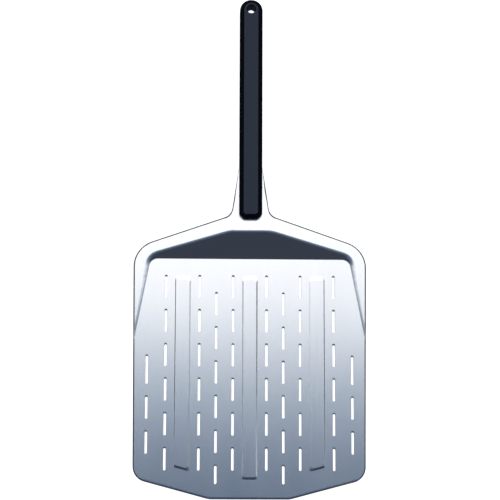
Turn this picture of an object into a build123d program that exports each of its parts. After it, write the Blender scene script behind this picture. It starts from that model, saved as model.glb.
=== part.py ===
from build123d import *
import math
import os

os.makedirs("parts", exist_ok=True)

# Pizza peel. It lies on its blade with Z up, and Y runs along it, handle towards +Y.
# The origin is under the middle of its length, on the surface that it lies on.
# Distances called "from front" are measured along Y from the front edge.

overall_length = 655.0
front_edge = -overall_length / 2

# Blade
sheet = 2.0
blade_width = 304.3
front_width = 299.0
front_flat = 104.0
front_slant_depth = 26.0
front_flat_radius = 30.0
front_side_radius = 20.0
shoulder_corner_from_front = 325.5
shoulder_radius = 34.0
neck_root_width = 50.0
neck_root_from_front = 365.8
neck_root_radius = 14.0
neck_end_width = 28.6
neck_end_from_front = 436.0
tang_width = 20.0
tang_end_from_front = 506.0
tang_corner_radius = 4.0
bevel_width = 3.3
front_lip = 0.5

# Raised neck, and the dish pressed in front of it
neck_rise = 20.0
neck_flat_width = 53.4
neck_start_from_front = 160.0
flange_rise = 1.5
flange_start = 140.0
flange_bend_radius = 30.0
neck_bend_radius = 80.0
ramp_angle = 31.0
ramp_foot_from_front = 310.9
dish_width = 259.0
dish_corner_radius = 11.0
side_fold_angle = 11.0
ridge_radius = 8.8
foot_radius = 1.2

# Stiffening ribs: steep at the front and on the blade's outer sides, gentle elsewhere
rib_spacing = 87.0
rib_width = 20.4
rib_height = 1.0
rib_outer_slope = 0.9
rib_inner_slope = 2.2
rib_front_slope = 3.0
rib_rear_slope = 6.0
rib_rear_from_front = 289.0
centre_rib_front = 25.0
outer_rib_front = 37.7
rib_corner_radius = 3.0
rib_rear_corner_radius = 6.0
rib_crest_radius = 1.2
rib_foot_radius = 0.8

# Slots: each row of a column is (rear end from front, length)
slot_width = 3.1
slot_length = 30.0
slot_pitch = 44.6
slot_rows = 6
slot_rear_slope = 2.0
column_unit = 21.8
first_slot_rear = 289.5
short_slot_length = 24.8
side_column = 133.0
side_slots = [(185.2, 38.0), (132.3, 30.0), (87.6, 30.0)]

# Handle
handle_middle_height = neck_rise + sheet / 2
handle_end_radius = 15.0
handle_thickness = 25.0
handle_front_from_front = 359.3
handle_bevel = 5.7
handle_front_cut = 5.8
handle_corner_radius = 6.5
handle_edge_radius = 0.7
handle_wall = 3.2
handle_roof = 4.6
stiffener_thickness = 2.0
hang_hole_radius = 5.4
hang_tube_radius = 9.0
hang_rim_radius = 1.5
handle_end_y = overall_length / 2 - handle_end_radius
hang_hole_y = handle_end_y + 0.8
handle_front = front_edge + handle_front_from_front
handle_bottom_height = handle_middle_height - handle_thickness / 2
handle_top_height = handle_middle_height + handle_thickness / 2

# Fixings
screw_radius = 2.0
screw_hole_radius = 2.3
screw_head_radius = 3.6
screw_head_height = 2.4
screw_head_round = 0.9
screw_point = 0.5
screw_length = 14.0
screw_recess_radius = 4.2
screw_seat_height = handle_bottom_height + 4.4
socket_width = 2.5
socket_depth = 1.4
insert_radius = 2.9
insert_length = 7.0
insert_groove = 1.2
insert_base_height = handle_middle_height + 1.3
insert_hole_top = insert_base_height + insert_length + 0.4
boss_radius = 5.2
fit_gap = 0.05
tang_gap = 0.15
screws_from_front = [380.0, 430.0, 482.0, 540.0, 598.0]
stiffeners_from_front = [405.0, 456.0, 511.0, 569.0, 619.0]

# How far a cutting shape runs past what it cuts, and how near counts as the same place
spare = 30.0
tiny = 0.01


def at(from_front):
    return front_edge + from_front


def upright(radius, low, high, x=0.0, y=0.0):
    bar = Cylinder(radius, high - low, align=(Align.CENTER, Align.CENTER, Align.MIN))
    return Pos(x, y, low) * bar


def blade_outline():
    right = [
        (front_flat / 2, 0, front_flat_radius),
        (front_width / 2, front_slant_depth, front_side_radius),
        (blade_width / 2, shoulder_corner_from_front, shoulder_radius),
        (neck_root_width / 2, neck_root_from_front, neck_root_radius),
        (neck_end_width / 2, neck_end_from_front, tang_corner_radius),
        (tang_width / 2, neck_end_from_front, tang_corner_radius / 2),
        (tang_width / 2, tang_end_from_front, tang_corner_radius),
    ]
    left = [(-x, y, radius) for x, y, radius in reversed(right)]
    corners = right + left
    points = [(x, at(y)) for x, y, radius in corners]
    edge = FilletPolyline(*points, radius=[radius for x, y, radius in corners], close=True)
    return make_face(edge)


def dish_outline(grow):
    """The pressed dish from above, open past the front edge, moved out by grow."""
    turn = math.radians(side_fold_angle)
    rear_half = dish_width / 2 + grow * (1 - math.sin(turn)) / math.cos(turn)
    rear_y = at(ramp_foot_from_front) + grow
    front_y = front_edge - spare
    front_half = rear_half + (rear_y - front_y) * math.tan(turn)
    corner = dish_corner_radius + grow
    edge = FilletPolyline(
        (-front_half, front_y), (front_half, front_y), (rear_half, rear_y), (-rear_half, rear_y),
        radius=[0, 0, corner, corner], close=True
    )
    return make_face(edge)


def raised_neck():
    flange_top = sheet + flange_rise
    neck_top = sheet + neck_rise
    far = blade_width / 2 + spare
    profile = FilletPolyline(
        (far, flange_top), (flange_start, flange_top), (neck_flat_width / 2, neck_top),
        (-neck_flat_width / 2, neck_top), (-flange_start, flange_top), (-far, flange_top),
        radius=[flange_bend_radius, neck_bend_radius, neck_bend_radius, flange_bend_radius]
    )
    below = Polyline((-far, flange_top), (-far, -sheet), (far, -sheet), (far, flange_top))
    section = make_face([*profile.edges(), *below.edges()])
    plane = Plane(origin=(0, at(neck_start_from_front), 0), x_dir=(1, 0, 0), z_dir=(0, -1, 0))
    raised = extrude(plane * section, amount=neck_start_from_front - tang_end_from_front - spare)
    depth = neck_rise + sheet
    run = depth / math.tan(math.radians(ramp_angle))
    foot = Pos(0, 0, sheet) * dish_outline(0)
    mouth = Pos(0, 0, sheet + depth) * dish_outline(run)
    return raised - loft([foot, mouth], ruled=True)


def rib_outline(centre, front, lean, inward=(0, 0, 0, 0), rear_radius=rib_rear_corner_radius):
    """A rib from above, moved inward by a distance each for its left, right, front and rear."""
    left_in, right_in, front_in, rear_in = inward
    left = left_in - rib_width / 2
    right = rib_width / 2 - right_in
    front_y = at(front) + front_in
    rear_y = at(rib_rear_from_front) - rear_in
    edge = FilletPolyline(
        (centre + left, front_y + lean * left), (centre + right, front_y + lean * right),
        (centre + right, rear_y), (centre + left, rear_y),
        radius=[rib_corner_radius, rib_corner_radius, rear_radius, rear_radius], close=True
    )
    return make_face(edge)


def rib(centre, front, lean, left_slope, right_slope):
    foot = Pos(0, 0, sheet) * rib_outline(centre, front, lean)
    walls = (left_slope, right_slope, rib_front_slope, rib_rear_slope)
    crest = rib_outline(centre, front, lean, walls, rib_corner_radius)
    raised = loft([foot, Pos(0, 0, sheet + rib_height) * crest], ruled=True)
    return fillet(raised.edges().group_by(Axis.Z)[-1], rib_crest_radius)


def ribs():
    lean = front_slant_depth / (front_width / 2 - front_flat / 2)
    return [
        rib(-rib_spacing, outer_rib_front, -lean, rib_outer_slope, rib_inner_slope),
        rib(0, centre_rib_front, 0, rib_inner_slope, rib_inner_slope),
        rib(rib_spacing, outer_rib_front, lean, rib_inner_slope, rib_outer_slope),
    ]


def is_flat(edge):
    box = edge.bounding_box()
    return abs(box.min.Z - sheet) < tiny and abs(box.max.Z - sheet) < tiny


def is_dish_rim(edge):
    box = edge.bounding_box()
    behind_start = edge.position_at(0.5).Y > at(neck_start_from_front) + 1
    return box.min.Z > sheet + flange_rise / 2 and behind_start and box.max.Y < at(handle_front_from_front)


def is_dish_foot(edge):
    middle = edge.position_at(0.5)
    inside = abs(middle.X) < blade_width / 2 + spare / 2
    along = at(neck_start_from_front) + 1 < middle.Y < at(ramp_foot_from_front) + 1
    return is_flat(edge) and inside and along


def is_rib_foot(edge):
    middle = edge.position_at(0.5)
    beside = min(abs(middle.X - centre) for centre in (-rib_spacing, 0, rib_spacing))
    return is_flat(edge) and beside < rib_width / 2 + 1 and at(0) < middle.Y < at(rib_rear_from_front) + 1


def pressed_form():
    """A block whose upper surface is the upper surface of the pressed sheet."""
    top_middle = (Align.CENTER, Align.CENTER, Align.MAX)
    block = Box(blade_width + 2 * spare, overall_length + 2 * spare, 2 * sheet, align=top_middle)
    form = (Pos(0, 0, sheet) * block + raised_neck()).solid()
    form = form.fillet(ridge_radius, [edge for edge in form.edges() if is_dish_rim(edge)])
    form = form.fillet(foot_radius, [edge for edge in form.edges() if is_dish_foot(edge)])
    for raised in ribs():
        form = form + raised
    form = form.solid()
    return form.fillet(rib_foot_radius, [edge for edge in form.edges() if is_rib_foot(edge)])


def slot(x, rear_from_front, length):
    """A slot through the sheet, with a rear end that slopes down into it."""
    sections = []
    for height in (-sheet / 2, 3 * sheet / 2):
        reach = slot_rear_slope * (height / sheet - 1)
        here = length + reach
        face = SlotOverall(here, slot_width, rotation=90)
        sections.append(Pos(x, at(rear_from_front - length) + here / 2, height) * face)
    return loft(sections, ruled=True)


def slots():
    cuts = []
    for side in (-1, 1):
        for row in range(slot_rows):
            rear = first_slot_rear - row * slot_pitch
            for units in (1, 3, 5):
                cuts.append(slot(side * units * column_unit, rear, slot_length))
            length = slot_length if row < slot_rows - 1 else short_slot_length
            cuts.append(slot(side * 2 * column_unit, rear - slot_pitch / 2, length))
        for rear, length in side_slots:
            cuts.append(slot(side * side_column, rear, length))
    return cuts


def bevel_cut(middle, half_length, turn):
    """A wedge that takes the top off the front edge, down to the lip."""
    slope = (sheet - front_lip) / bevel_width
    before = (-bevel_width, front_lip - slope * bevel_width)
    behind = (2 * bevel_width, front_lip + 2 * slope * bevel_width)
    above = (-bevel_width, 4 * sheet)
    section = make_face(Polyline(before, behind, above, close=True))
    wedge = extrude(Plane.YZ * section, amount=half_length, both=True)
    return Pos(*middle) * Rot(0, 0, turn) * wedge


def front_bevel():
    side_run = front_width / 2 - front_flat / 2
    turn = math.degrees(math.atan(front_slant_depth / side_run))
    half_slant = math.hypot(side_run, front_slant_depth) / 2
    cuts = [bevel_cut((0, front_edge), front_flat / 2 + bevel_width, 0)]
    for side in (-1, 1):
        middle = (side * (front_flat / 2 + side_run / 2), front_edge + front_slant_depth / 2)
        cuts.append(bevel_cut(middle, half_slant, side * turn))
    return cuts


def blade():
    form = pressed_form()
    trim = extrude(Pos(0, 0, -1) * blade_outline(), amount=neck_rise + 2 * sheet)
    pressed = (form - Pos(0, 0, -sheet) * form) & trim
    tang_screws = [place for place in screws_from_front if place < tang_end_from_front]
    holes = [upright(screw_hole_radius, 0, handle_top_height, y=at(place)) for place in tang_screws]
    return pressed - [*slots(), *front_bevel(), *holes]


def handle_plan(inset=0.0):
    """Outline of the handle from above, moved in by inset."""
    half = handle_end_radius - inset
    front = handle_front + inset
    cut = handle_front_cut - inset * (2 - math.sqrt(2))
    sides = FilletPolyline(
        (half, handle_end_y), (half, front + cut), (half - cut, front), (cut - half, front),
        (-half, front + cut), (-half, handle_end_y), radius=handle_corner_radius - inset
    )
    end = ThreePointArc((-half, handle_end_y), (0, handle_end_y + half), (half, handle_end_y))
    return make_face([*sides.edges(), end])


def handle_body():
    body = extrude(Pos(0, 0, handle_bottom_height) * handle_plan(), amount=handle_thickness)
    rims = body.edges().group_by(Axis.Z)
    body = chamfer([*rims[0], *rims[-1]], handle_bevel)
    level = [edge for edge in body.edges() if edge.bounding_box().size.Z < tiny]
    body = fillet(level, handle_edge_radius)
    body -= upright(hang_hole_radius, 0, handle_top_height + spare, y=hang_hole_y)
    circles = body.edges().filter_by(GeomType.CIRCLE)
    rim = [edge for edge in circles if abs(edge.radius - hang_hole_radius) < tiny]
    return fillet(rim, hang_rim_radius)


def handle_core():
    """What is hollow inside the handle, less its bosses and stiffeners."""
    low = handle_bottom_height + handle_roof
    high = handle_top_height - handle_roof
    core = extrude(Pos(0, 0, low) * handle_plan(handle_wall), amount=high - low)
    solid_parts = [upright(hang_tube_radius, low, high, y=hang_hole_y)]
    for place in screws_from_front:
        solid_parts.append(upright(boss_radius, low, high, y=at(place)))
    for place in stiffeners_from_front:
        stiffener = Box(2 * handle_end_radius, stiffener_thickness, handle_thickness)
        solid_parts.append(Pos(0, at(place), handle_middle_height) * stiffener)
    return core - solid_parts


def tang_space():
    room = offset(blade_outline(), tang_gap)
    return extrude(Pos(0, 0, neck_rise) * room, amount=sheet)


def handle_shells():
    body = handle_body() - handle_core() - tang_space()
    on_base = (Align.CENTER, Align.CENTER, Align.MIN)
    upper_half = Pos(0, 0, handle_middle_height) * Box(spare * 2, overall_length * 2, spare, align=on_base)
    top = body & upper_half
    bottom = body - upper_half
    for place in screws_from_front:
        y = at(place)
        top -= upright(insert_radius + fit_gap, 0, insert_hole_top, y=y)
        bottom -= upright(screw_hole_radius, 0, handle_top_height, y=y)
        bottom -= upright(screw_recess_radius, 0, screw_seat_height, y=y)
    return top, bottom


def screw(y):
    head_base = screw_seat_height - screw_head_height
    head = upright(screw_head_radius, head_base, screw_seat_height)
    head = fillet(head.edges().group_by(Axis.Z)[0], screw_head_round)
    shank = upright(screw_radius, screw_seat_height, screw_seat_height + screw_length)
    shank = chamfer(shank.edges().group_by(Axis.Z)[-1], screw_point)
    hexagon = RegularPolygon(socket_width / 2, 6, major_radius=False)
    socket = extrude(Pos(0, 0, head_base) * hexagon, amount=socket_depth)
    return Pos(0, y, 0) * (head + shank - socket)


def threaded_insert(y):
    body = upright(insert_radius, insert_base_height, insert_base_height + insert_length)
    groove_low = insert_base_height + (insert_length - insert_groove) / 2
    groove = upright(insert_radius + 1, groove_low, groove_low + insert_groove)
    groove -= upright(insert_radius - insert_groove / 2, 0, handle_top_height)
    return Pos(0, y, 0) * (body - groove - upright(screw_radius + fit_gap, 0, handle_top_height))


def write(name, shape):
    export_step(shape, f"parts/{name}.step")
    print(name, "volume", round(shape.volume), "mm3")


write("blade", blade())
top_shell, bottom_shell = handle_shells()
write("handle_top_shell", top_shell)
write("handle_bottom_shell", bottom_shell)
for number, place in enumerate(screws_from_front, 1):
    write(f"handle_screw_{number}", screw(at(place)))
    write(f"threaded_insert_{number}", threaded_insert(at(place)))
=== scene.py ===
import math
import bmesh
import bpy
from mathutils import Euler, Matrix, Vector


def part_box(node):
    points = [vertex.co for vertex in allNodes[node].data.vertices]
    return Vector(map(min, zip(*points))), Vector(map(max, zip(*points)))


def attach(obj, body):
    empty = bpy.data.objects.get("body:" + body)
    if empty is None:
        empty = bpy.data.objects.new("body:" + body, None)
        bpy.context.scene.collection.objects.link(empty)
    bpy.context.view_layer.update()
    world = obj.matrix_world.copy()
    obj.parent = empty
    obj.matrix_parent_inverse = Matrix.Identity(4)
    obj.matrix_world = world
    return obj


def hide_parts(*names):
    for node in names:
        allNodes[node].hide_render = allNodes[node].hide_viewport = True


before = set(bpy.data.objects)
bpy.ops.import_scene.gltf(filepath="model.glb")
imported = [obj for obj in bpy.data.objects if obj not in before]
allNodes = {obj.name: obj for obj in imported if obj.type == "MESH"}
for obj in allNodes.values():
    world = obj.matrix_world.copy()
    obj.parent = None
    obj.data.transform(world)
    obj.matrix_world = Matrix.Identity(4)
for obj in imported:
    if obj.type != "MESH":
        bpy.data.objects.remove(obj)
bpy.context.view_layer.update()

print("frame loaded with", len(allNodes), "nodes")

meshTidy = {
    "mergeDistance": 0.000002,
    "flatAngle": math.radians(0.05),
    "smoothAngle": math.radians(28),
    "flatFaceWeight": 100,
}


def deselectAll():
    if bpy.context.object and bpy.context.object.mode != "OBJECT":
        bpy.ops.object.mode_set(mode="OBJECT")
    bpy.ops.object.select_all(action="DESELECT")


def pick(piece):
    deselectAll()
    piece.select_set(True)
    bpy.context.view_layer.objects.active = piece


def copyOfNode(nodeName, pieceName):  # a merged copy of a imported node, left in edit mode
    piece = allNodes[nodeName].copy()
    piece.data = allNodes[nodeName].data.copy()
    piece.name = pieceName
    piece.data.name = pieceName
    piece.parent = None
    for key in list(piece.keys()):
        del piece[key]
    bpy.context.scene.collection.objects.link(piece)
    pick(piece)
    bpy.ops.object.mode_set(mode="EDIT")
    bpy.ops.mesh.select_all(action="SELECT")
    bpy.ops.mesh.customdata_custom_splitnormals_clear()
    bpy.ops.mesh.remove_doubles(threshold=meshTidy["mergeDistance"])
    bpy.ops.mesh.dissolve_limited(angle_limit=meshTidy["flatAngle"])
    return piece


def selectSharpEdges(piece, angle, wanted):  # edges of the mesh in edit mode, by fold angle and place
    bpy.ops.mesh.select_mode(type="EDGE")
    bpy.ops.mesh.select_all(action="DESELECT")
    mesh = bmesh.from_edit_mesh(piece.data)
    count = 0
    for edge in mesh.edges:
        if len(edge.link_faces) != 2 or edge.calc_face_angle(0) < angle:
            continue
        middle = (edge.verts[0].co + edge.verts[1].co) / 2
        if wanted(middle, edge):
            edge.select_set(True)
            count += 1
    bmesh.update_edit_mesh(piece.data)
    return count


def setMaterial(piece, material):
    piece.data.materials.clear()
    piece.data.materials.append(material)


def finishPiece(piece, material, nodeName):
    pick(piece)
    bpy.ops.object.shade_smooth_by_angle(angle=meshTidy["smoothAngle"])
    weigh = piece.modifiers.new("flatFacesFirst", "WEIGHTED_NORMAL")
    weigh.keep_sharp = True
    weigh.weight = meshTidy["flatFaceWeight"]
    bpy.ops.object.modifier_apply(modifier=weigh.name)
    setMaterial(piece, material)
    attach(piece, "root")
    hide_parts(nodeName)
    deselectAll()


class NodeSheet:  # short names for building a node material

    def __init__(self, name):
        self.material = bpy.data.materials.new(name)
        self.material.use_nodes = True
        self.tree = self.material.node_tree
        self.shader = self.tree.nodes["Principled BSDF"]
        self.place = self.add("ShaderNodeTexCoord").outputs["Object"]

    def add(self, kind):
        return self.tree.nodes.new(kind)

    def join(self, source, target):
        self.tree.links.new(source, target)

    def feed(self, source, socketName):  # into one of the shader's own sockets
        self.join(source, self.shader.inputs[socketName])

    def fix(self, socketName, value):  # a value that is the same all over the surface
        self.shader.inputs[socketName].default_value = value

    def stretched(self, scale):
        mapping = self.add("ShaderNodeMapping")
        mapping.inputs["Scale"].default_value = scale
        self.join(self.place, mapping.inputs["Vector"])
        return mapping.outputs["Vector"]

    def noise(self, where, scale, detail, roughness=0.55):
        node = self.add("ShaderNodeTexNoise")
        node.inputs["Scale"].default_value = scale
        node.inputs["Detail"].default_value = detail
        node.inputs["Roughness"].default_value = roughness
        self.join(where, node.inputs["Vector"])
        return node.outputs["Fac"]

    def ramp(self, value, low, high, lowPlace=0.3, highPlace=0.7):
        node = self.add("ShaderNodeValToRGB")
        node.color_ramp.elements[0].position = lowPlace
        node.color_ramp.elements[0].color = (*low, 1)
        node.color_ramp.elements[1].position = highPlace
        node.color_ramp.elements[1].color = (*high, 1)
        self.join(value, node.inputs["Fac"])
        return node.outputs["Color"]

    def span(self, value, low, high, fromLow=0.3, fromHigh=0.7):
        node = self.add("ShaderNodeMapRange")
        node.inputs["From Min"].default_value = fromLow
        node.inputs["From Max"].default_value = fromHigh
        node.inputs["To Min"].default_value = low
        node.inputs["To Max"].default_value = high
        self.join(value, node.inputs["Value"])
        return node.outputs["Result"]

    def bump(self, height, strength, distance, under=None):
        node = self.add("ShaderNodeBump")
        node.inputs["Strength"].default_value = strength
        node.inputs["Distance"].default_value = distance
        self.join(height, node.inputs["Height"])
        if under:
            self.join(under, node.inputs["Normal"])
        return node.outputs["Normal"]


aluminiumLook = {
    "tones": ((0.865, 0.89, 0.93), (0.885, 0.91, 0.95)),
    "roughness": (0.22, 0.25),
    "streakStretch": (1, 0.03, 1),  # drawn out along the blade
    "streakScale": 420,
    "streakDetail": 4,
    "streakBump": (0.012, 0.0003),
    "cloudStretch": (1, 0.25, 1),
    "cloudScale": 14,
    "cloudDetail": 3,
    "grainScale": 1800,
    "grainDetail": 2,
    "grainBump": (0.04, 0.0002),
}


def makeAluminium(look):
    sheet = NodeSheet("brushedAnodisedAluminium")
    streaks = sheet.noise(sheet.stretched(look["streakStretch"]), look["streakScale"], look["streakDetail"])
    clouds = sheet.noise(sheet.stretched(look["cloudStretch"]), look["cloudScale"], look["cloudDetail"])
    grain = sheet.noise(sheet.place, look["grainScale"], look["grainDetail"])
    sheet.feed(sheet.ramp(streaks, *look["tones"]), "Base Color")
    sheet.feed(sheet.span(clouds, *look["roughness"]), "Roughness")
    fine = sheet.bump(grain, *look["grainBump"])
    sheet.feed(sheet.bump(streaks, *look["streakBump"], fine), "Normal")
    sheet.fix("Metallic", 1.0)
    return sheet.material


nylonLook = {
    "tones": ((0.0012, 0.0014, 0.0022), (0.0022, 0.0026, 0.0042)),
    "roughness": (0.2, 0.26),
    "shine": (0.52, 0.66, 1.0, 1),  # a bluish gloss
    "cloudScale": 40,
    "cloudDetail": 3,
    "grainScale": 2600,
    "grainDetail": 3,
    "grainRoughness": 0.6,
    "grainBump": (0.12, 0.0002),
}


def makeNylon(look):
    sheet = NodeSheet("mouldedNylon")
    grain = sheet.noise(sheet.place, look["grainScale"], look["grainDetail"], look["grainRoughness"])
    clouds = sheet.noise(sheet.place, look["cloudScale"], look["cloudDetail"])
    sheet.feed(sheet.ramp(clouds, *look["tones"]), "Base Color")
    sheet.feed(sheet.span(clouds, *look["roughness"]), "Roughness")
    sheet.feed(sheet.bump(grain, *look["grainBump"]), "Normal")
    sheet.fix("Specular Tint", look["shine"])
    return sheet.material


steelLook = {
    "name": "screwSteel",
    "tones": ((0.42, 0.42, 0.43), (0.52, 0.52, 0.53)),
    "roughness": (0.28, 0.38),
    "grainScale": 3000,
    "grainDetail": 2,
    "grainBump": (0.05, 0.0001),
}

brassLook = {
    "name": "turnedBrass",
    "tones": ((0.62, 0.45, 0.19), (0.74, 0.55, 0.26)),
    "roughness": (0.25, 0.35),
    "grainScale": 2400,
    "grainDetail": 2,
    "grainBump": (0.05, 0.0001),
}


def makeFixingMetal(look):
    sheet = NodeSheet(look["name"])
    grain = sheet.noise(sheet.place, look["grainScale"], look["grainDetail"])
    sheet.feed(sheet.ramp(grain, *look["tones"]), "Base Color")
    sheet.feed(sheet.span(grain, *look["roughness"]), "Roughness")
    sheet.feed(sheet.bump(grain, *look["grainBump"]), "Normal")
    sheet.fix("Metallic", 1.0)
    return sheet.material


aluminium = makeAluminium(aluminiumLook)
nylon = makeNylon(nylonLook)
steel = makeFixingMetal(steelLook)
brass = makeFixingMetal(brassLook)
print("materials made")

bladeShape = {
    "topRound": 0.0018,
    "topProfile": 0.3,
    "undersideRound": 0.0002,
    "slotRound": 0.0003,
    "roundProfile": 0.5,
    "roundSteps": 4,
    "sharpAngle": math.radians(50),
    "lipReach": 0.045,  # how far back the front corners run
    "lipHeight": 0.0008,
    "upward": 0.5,
    "holesHalfWidth": 0.137,
    "holesFrom": 0.018,
    "holesTo": 0.295,
    "neckCut": 0.075,
}


def makeBlade(shape):
    low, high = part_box("blade")
    handleLow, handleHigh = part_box("handle_top_shell")
    piece = copyOfNode("blade", "pressedBlade")

    def onFrontLip(middle):
        return middle.y < low.y + shape["lipReach"] and middle.z < shape["lipHeight"]

    def onHoleRim(middle):  # slots stand well inside the outline
        along = low.y + shape["holesFrom"] < middle.y < low.y + shape["holesTo"]
        return along and abs(middle.x) < shape["holesHalfWidth"]

    def inHandle(middle):
        return middle.y > handleLow.y and abs(middle.x) < handleHigh.x

    def facesUp(edge):
        return max(face.normal.z for face in edge.link_faces) > shape["upward"]

    def onTopOutline(middle, edge):
        return facesUp(edge) and not onHoleRim(middle) and not onFrontLip(middle) and not inHandle(middle)

    def onLowOutline(middle, edge):
        return not facesUp(edge) and middle.z > shape["lipHeight"] and not inHandle(middle)

    def onTopOfHole(middle, edge):
        return facesUp(edge) and onHoleRim(middle)

    # the neck's rounding runs out at this cut, just inside the handle
    bpy.ops.mesh.select_all(action="SELECT")
    bpy.ops.mesh.bisect(plane_co=(0, handleLow.y + shape["neckCut"], 0), plane_no=(0, 1, 0))
    rounds = (
        (onTopOutline, shape["topRound"], shape["topProfile"]),
        (onLowOutline, shape["undersideRound"], shape["roundProfile"]),
        (onTopOfHole, shape["slotRound"], shape["roundProfile"]),
    )
    for wanted, size, profile in rounds:
        found = selectSharpEdges(piece, shape["sharpAngle"], wanted)
        bpy.ops.mesh.bevel(offset=size, segments=shape["roundSteps"], profile=profile, affect="EDGES")
        print("blade edges rounded", found)
    bpy.ops.object.mode_set(mode="OBJECT")
    for vertex in piece.data.vertices:  # nothing reaches below what the peel lies on
        vertex.co.z = max(vertex.co.z, low.z)
    finishPiece(piece, aluminium, "blade")


makeBlade(bladeShape)
print("blade made")

fixings = {
    "count": 5,
    "screws": "handle_screw_",
    "inserts": "threaded_insert_",
}


def makeShell(nodeName, pieceName):
    piece = copyOfNode(nodeName, pieceName)
    bpy.ops.object.mode_set(mode="OBJECT")
    finishPiece(piece, nylon, nodeName)


makeShell("handle_top_shell", "handleTop")
makeShell("handle_bottom_shell", "handleUnderside")
for number in range(1, fixings["count"] + 1):
    setMaterial(allNodes[f"{fixings['screws']}{number}"], steel)
    setMaterial(allNodes[f"{fixings['inserts']}{number}"], brass)
print("handle made")

floorShape = {
    "size": 12.0,
    "height": -0.0004,
    "tones": ((0.86, 0.86, 0.87), (0.88, 0.88, 0.88)),
    "roughness": (0.7, 0.8),
    "cloudScale": 2,
    "cloudDetail": 2,
    "shine": 0.1,
    "glow": 0.92,  # keeps the floor white to its edges
}


def makeFloor(shape):
    deselectAll()
    bpy.ops.mesh.primitive_plane_add(size=shape["size"], location=(0, 0, shape["height"]))
    floor = bpy.context.object
    floor.name = "studioFloor"
    sheet = NodeSheet("paleFloor")
    clouds = sheet.noise(sheet.place, shape["cloudScale"], shape["cloudDetail"])
    sheet.feed(sheet.ramp(clouds, *shape["tones"]), "Base Color")
    sheet.feed(sheet.span(clouds, *shape["roughness"]), "Roughness")
    sheet.fix("Specular IOR Level", shape["shine"])
    sheet.fix("Emission Color", (1, 1, 1, 1))
    sheet.fix("Emission Strength", shape["glow"])
    floor.data.materials.append(sheet.material)
    floor.visible_glossy = False


# the broad panel whitens the blade's rear; the narrow and front ones fade it to blue-grey
ceilingLights = {
    "height": 1.6,
    "ceilingPanel": {"radiance": 1.23, "colour": (1, 0.985, 0.965), "size": (3.4, 0.92), "along": 0.52},
    "ceilingEdge": {"radiance": 0.44, "colour": (0.62, 0.8, 1), "size": (3.4, 0.2), "along": -0.04},
    "frontCeilingPanel": {"radiance": 0.14, "colour": (0.38, 0.62, 1), "size": (2.6, 0.8), "along": -0.54},
}

rearLight = {
    "radiance": 1.4,
    "colour": (1, 1, 1),
    "size": (3.0, 0.7),
    "place": (0, 1.35, 1.45),
    "aim": (0, 0, 0),
}

sideLights = {  # one on each side, for the dish's side folds
    "radiance": 1.0,
    "colour": (0.9, 0.95, 1),
    "size": (0.5, 0.5),
    "across": 1.3,
    "along": -0.38,
    "height": 0.76,
}

roomColour = (0.037, 0.044, 0.060)


def makePanel(name, look, place, aim):
    width, depth = look["size"]
    data = bpy.data.lights.new(name, "AREA")
    data.shape = "RECTANGLE"
    data.size = width
    data.size_y = depth
    data.energy = look["radiance"] * math.pi * width * depth
    data.color = look["colour"]
    panel = bpy.data.objects.new(name, data)
    bpy.context.scene.collection.objects.link(panel)
    panel.location = place
    panel.rotation_euler = (Vector(place) - Vector(aim)).to_track_quat("Z", "Y").to_euler()
    panel.visible_camera = False


def lightStudio():
    for name in ("ceilingPanel", "ceilingEdge", "frontCeilingPanel"):
        look = ceilingLights[name]
        makePanel(name, look, (0, look["along"], ceilingLights["height"]), (0, look["along"], 0))
    makePanel("rearCeilingPanel", rearLight, rearLight["place"], rearLight["aim"])
    for side in (-1, 1):
        place = (side * sideLights["across"], sideLights["along"], sideLights["height"])
        makePanel("sidePanel", sideLights, place, (0, sideLights["along"], 0))
    world = bpy.data.worlds.new("studioRoom")
    world.use_nodes = True
    world.node_tree.nodes["Background"].inputs["Color"].default_value = (*roomColour, 1)
    bpy.context.scene.world = world
    bpy.context.scene.view_settings.view_transform = "Standard"


shot = {
    "lens": 120.9,
    "distance": 2.2,
    "tilt": math.radians(9.5),
    "lean": math.radians(-1.6),
    "turn": math.radians(0.18),
    "aim": (0.0, -0.0042, 0.0),
}


def makeCamera(values):
    data = bpy.data.cameras.new("topCamera")
    data.lens = values["lens"]
    camera = bpy.data.objects.new("topCamera", data)
    bpy.context.scene.collection.objects.link(camera)
    look = Euler((values["tilt"], values["lean"], values["turn"]))
    back = Vector((0, 0, values["distance"]))
    back.rotate(look)
    camera.location = Vector(values["aim"]) + back
    camera.rotation_euler = look
    bpy.context.scene.camera = camera


makeFloor(floorShape)
lightStudio()
makeCamera(shot)
print("stage made")
